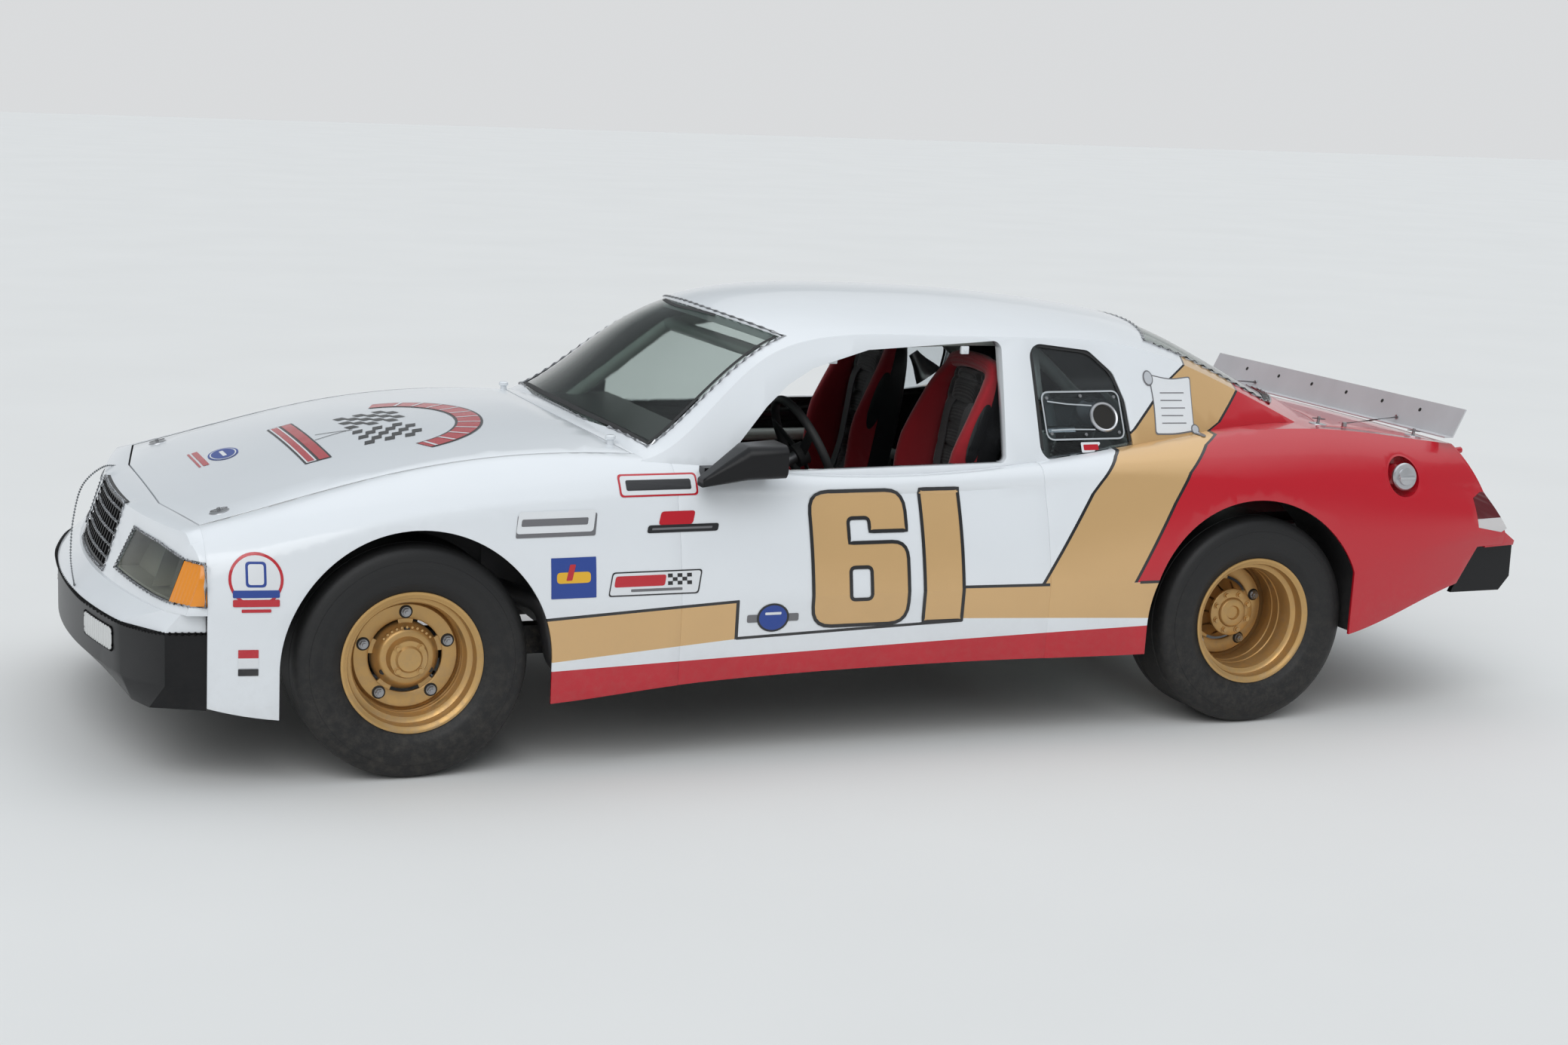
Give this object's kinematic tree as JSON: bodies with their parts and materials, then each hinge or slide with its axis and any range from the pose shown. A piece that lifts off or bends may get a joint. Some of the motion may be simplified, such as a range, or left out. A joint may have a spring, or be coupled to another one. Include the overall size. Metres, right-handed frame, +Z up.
{
  "type": "stock car",
  "caption": "Full-size racing stock car with a coupe body on a rail frame: roll cage, opening hood and deck lid, steered front wheels and deep wide-hub rims on slick tyres.",
  "frame": {"origin": "on the ground under the middle of the car's box", "axes": "+X to the nose, +Y to the driver's left, +Z up"},
  "size_m": [4.7698, 1.96, 1.3524],
  "materials": {
    "white_paint": "gloss",
    "clear_glass": "gloss",
    "chrome": "polished",
    "lamp_glass": "gloss",
    "lamp_reflector": "satin",
    "amber_lens": "gloss",
    "red_lens": "gloss",
    "black_plastic": "satin",
    "bare_aluminium": "brushed",
    "frame_steel": "satin",
    "cage_paint": "gloss",
    "seat_cloth": "woven",
    "rubber_grip": "matte",
    "engine_iron": "satin",
    "dark_steel": "satin",
    "gold_rim": "satin",
    "tyre": "matte",
    "clear_duct": "gloss",
    "hose_foil": "satin"
  },
  "bodies": {
    "chassis": {"fender_left": "white_paint", "fender_right": "white_paint", "cowl": "white_paint", "side_left": "white_paint", "side_right": "white_paint", "quarter_left": "white_paint", "quarter_right": "white_paint", "tail_panel": "white_paint", "roof": "white_paint", "windshield": "clear_glass", "rear_window": "clear_glass", "quarter_windows": "clear_glass", "nose": "white_paint", "grille": "chrome", "lamp_covers": "lamp_glass", "headlamps": "lamp_reflector", "marker_lamps": "amber_lens", "front_bumper": "black_plastic", "rear_bumper": "black_plastic", "tail_lamps": "red_lens", "mirrors": "black_plastic", "chassis_frame": "frame_steel", "roll_cage": "cage_paint", "floor_pan": "frame_steel", "seats": "seat_cloth", "dashboard": "black_plastic", "steering_column": "dark_steel", "engine": "engine_iron", "radiator": "bare_aluminium", "driveline": "dark_steel", "rear_axle": "dark_steel", "fuel_cell": "black_plastic", "exhaust": "dark_steel", "front_suspension": "dark_steel", "air_ducts": "clear_duct", "air_hoses": "hose_foil", "fuel_filler": "bare_aluminium"},
    "hood": {"hood": "white_paint"},
    "deck_lid": {"deck_lid": "white_paint", "spoiler": "bare_aluminium"},
    "knuckle_left": {"knuckle_left": "dark_steel"},
    "knuckle_right": {"knuckle_right": "dark_steel"},
    "tie_rod": {"tie_rod": "dark_steel"},
    "steering_wheel": {"steering_wheel": "rubber_grip"},
    "wheel_fl": {"rim_fl": "gold_rim", "tyre_fl": "tyre"},
    "wheel_fr": {"rim_fr": "gold_rim", "tyre_fr": "tyre"},
    "wheel_rl": {"rim_rl": "gold_rim", "tyre_rl": "tyre"},
    "wheel_rr": {"rim_rr": "gold_rim", "tyre_rr": "tyre"}
  },
  "joints": [
    {"name": "hood_hinge", "type": "hinge", "parent": "chassis", "child": "hood", "pos_m": [0.81, 0, 0.955], "axis": [0, -1, 0], "range_deg": [0, 60]},
    {"name": "deck_lid_hinge", "type": "hinge", "parent": "chassis", "child": "deck_lid", "pos_m": [-1.59, 0, 0.96], "axis": [0, 1, 0], "range_deg": [0, 55]},
    {"name": "steer_left", "type": "hinge", "parent": "chassis", "child": "knuckle_left", "pos_m": [1.507, 0.618, 0.343], "axis": [0, 0, 1], "range_deg": [-18, 18]},
    {"name": "steer_right", "type": "hinge", "parent": "chassis", "child": "knuckle_right", "pos_m": [1.507, -0.618, 0.343], "axis": [0, 0, 1], "range_deg": [-19, 19]},
    {"name": "tie_rod_slide", "type": "slide", "parent": "chassis", "child": "tie_rod", "axis": [0, 1, 0], "range_m": [-0.052, 0.052]},
    {"name": "steering_wheel_turn", "type": "hinge", "parent": "chassis", "child": "steering_wheel", "pos_m": [0.125, 0.4, 0.85], "axis": [-0.9063, 0, 0.4226], "range_deg": [-220, 220]},
    {"name": "wheel_fl_spin", "type": "hinge", "parent": "knuckle_left", "child": "wheel_fl", "pos_m": [1.507, 0.77, 0.343], "axis": [0, 1, 0], "continuous": true},
    {"name": "wheel_fr_spin", "type": "hinge", "parent": "knuckle_right", "child": "wheel_fr", "pos_m": [1.507, -0.77, 0.343], "axis": [0, 1, 0], "continuous": true},
    {"name": "wheel_rl_spin", "type": "hinge", "parent": "chassis", "child": "wheel_rl", "pos_m": [-1.287, 0.752, 0.343], "axis": [0, 1, 0], "continuous": true},
    {"name": "wheel_rr_spin", "type": "hinge", "parent": "chassis", "child": "wheel_rr", "pos_m": [-1.287, -0.752, 0.343], "axis": [0, 1, 0], "continuous": true}
  ],
  "couplings": [
    {"joint": "steer_right", "follows": "steer_left", "ratio": 1},
    {"joint": "tie_rod_slide", "follows": "steer_left", "m_per_rad": -0.16},
    {"joint": "steering_wheel_turn", "follows": "steer_left", "ratio": 12}
  ]
}
